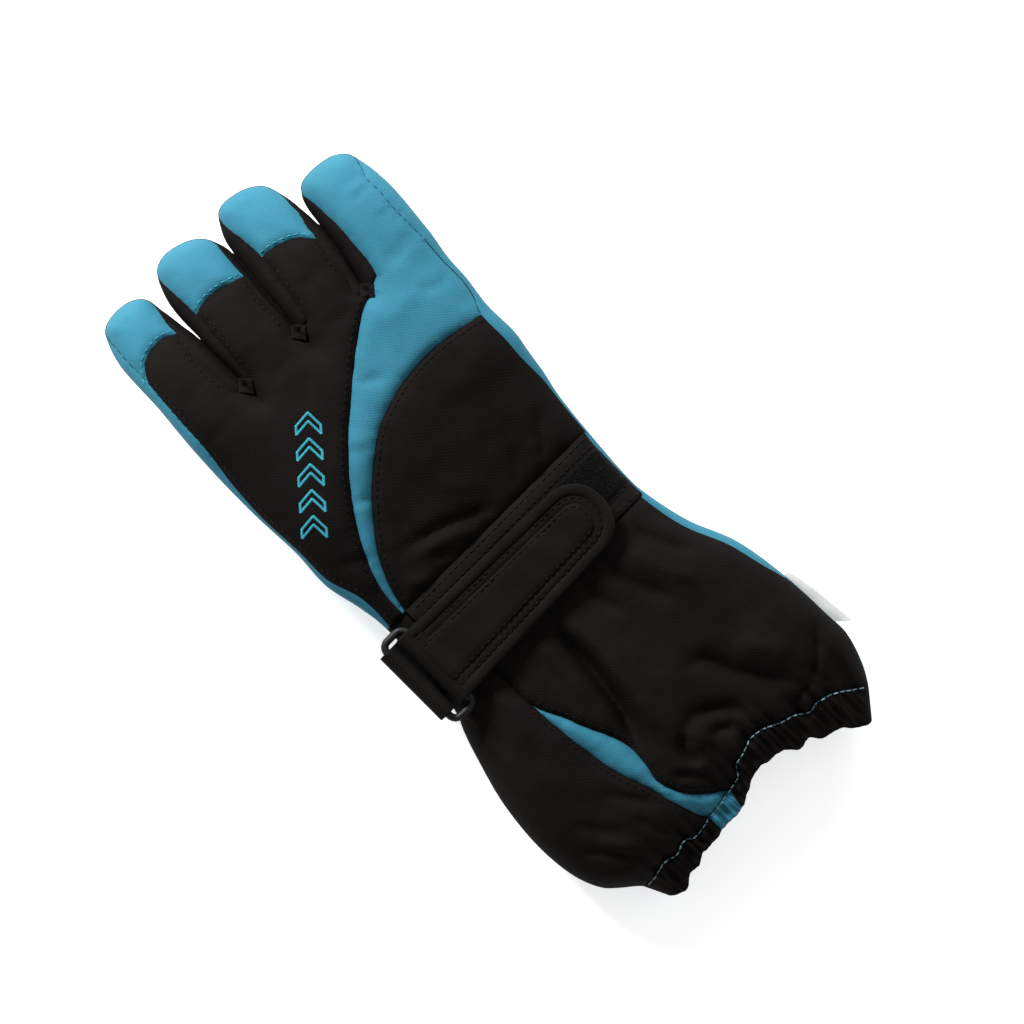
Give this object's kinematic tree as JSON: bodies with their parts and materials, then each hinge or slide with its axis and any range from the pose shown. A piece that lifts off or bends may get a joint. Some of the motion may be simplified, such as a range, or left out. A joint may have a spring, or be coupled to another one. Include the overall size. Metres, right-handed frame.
{
  "type": "ski glove",
  "caption": "Insulated five-finger ski glove for a right hand, with a strap and ring at the wrist and a flared elastic cuff.",
  "frame": {"origin": "centre of the bounding box, on the surface that the glove lies on", "axes": "+Y towards the fingertips, +X towards the little finger's side, +Z out of the back of the hand"},
  "size_m": [0.139, 0.3002, 0.045],
  "materials": {
    "black_softshell": "matte twill softshell",
    "blue_softshell": "matte softshell, slightly sheeny",
    "grip_palm": "textured grip fabric with a fine square grid",
    "lining_fleece": "brushed fleece",
    "strap_webbing": "fine woven webbing",
    "hook_and_loop": "fuzzy loop pile and hook tape",
    "ring_plastic": "satin moulded plastic",
    "elastic_tape": "ribbed elastic",
    "reflective_tape": "silver reflective tape",
    "embroidery_thread": "satin embroidery thread"
  },
  "bodies": {
    "hand": {"back_panel": "black_softshell", "swoosh_panel": "blue_softshell", "outer_back_panel": "black_softshell", "palm_upper": "grip_palm", "palm_heel": "grip_palm", "index_side_panel": "blue_softshell", "pinky_side_panel": "blue_softshell", "hand_lining": "lining_fleece", "embroidered_motif": "embroidery_thread", "wrist_gather": "blue_softshell", "wrist_elastic": "elastic_tape", "landing_band": "strap_webbing", "loop_tape": "hook_and_loop", "ring_tab": "strap_webbing"},
    "index_finger": {"index_back": "black_softshell", "index_cap": "blue_softshell", "index_palm": "grip_palm", "index_side_strip": "blue_softshell", "index_gusset": "black_softshell", "index_lining": "lining_fleece"},
    "middle_finger": {"middle_back": "black_softshell", "middle_cap": "blue_softshell", "middle_palm": "grip_palm", "middle_gusset": "black_softshell", "middle_lining": "lining_fleece"},
    "ring_finger": {"ring_back": "black_softshell", "ring_cap": "blue_softshell", "ring_palm": "grip_palm", "ring_gusset": "black_softshell", "ring_lining": "lining_fleece"},
    "pinky_finger": {"pinky_back": "blue_softshell", "pinky_palm": "grip_palm", "pinky_side_strip": "blue_softshell", "pinky_gusset": "black_softshell", "pinky_lining": "lining_fleece"},
    "thumb": {"thumb_back": "blue_softshell", "thumb_palm": "grip_palm", "thumb_lining": "lining_fleece"},
    "cuff": {"cuff_back_outer": "black_softshell", "cuff_back_inner": "black_softshell", "cuff_wedge": "blue_softshell", "cuff_palm_inner": "blue_softshell", "cuff_palm_outer": "blue_softshell", "hem_back": "black_softshell", "hem_palm": "blue_softshell", "hem_elastic": "elastic_tape", "cuff_lining": "lining_fleece", "side_label": "reflective_tape"},
    "strap_ring": {"strap_ring": "ring_plastic"},
    "strap": {"strap_tail": "strap_webbing", "hook_tape": "hook_and_loop"}
  },
  "joints": [
    {"name": "index_curl", "type": "hinge", "parent": "hand", "child": "index_finger", "pos_m": [-0.04093, 0.08572, 0.027], "axis": [-1, 0, 0], "range_deg": [-8, 50]},
    {"name": "middle_curl", "type": "hinge", "parent": "hand", "child": "middle_finger", "pos_m": [-0.01063, 0.08572, 0.027], "axis": [-1, 0, 0], "range_deg": [-8, 50]},
    {"name": "ring_curl", "type": "hinge", "parent": "hand", "child": "ring_finger", "pos_m": [0.01987, 0.08572, 0.027], "axis": [-1, 0, 0], "range_deg": [-8, 50]},
    {"name": "pinky_curl", "type": "hinge", "parent": "hand", "child": "pinky_finger", "pos_m": [0.04867, 0.08572, 0.027], "axis": [-1, 0, 0], "range_deg": [-8, 50]},
    {"name": "thumb_swing", "type": "hinge", "parent": "hand", "child": "thumb", "pos_m": [-0.03533, 0.01973, 0.009], "axis": [0, 0, 1], "range_deg": [-5, 50]},
    {"name": "wrist_bend", "type": "hinge", "parent": "hand", "child": "cuff", "pos_m": [-0.00233, -0.04027, 0.022], "axis": [1, 0, 0], "range_deg": [-15, 15]},
    {"name": "ring_swivel", "type": "hinge", "parent": "hand", "child": "strap_ring", "pos_m": [-0.05633, -0.02427, 0.0378], "axis": [0, -1, 0], "range_deg": [0, 40]},
    {"name": "strap_peel", "type": "hinge", "parent": "strap_ring", "child": "strap", "pos_m": [-0.04633, -0.02427, 0.0378], "axis": [0, -1, 0], "range_deg": [0, 125]}
  ]
}
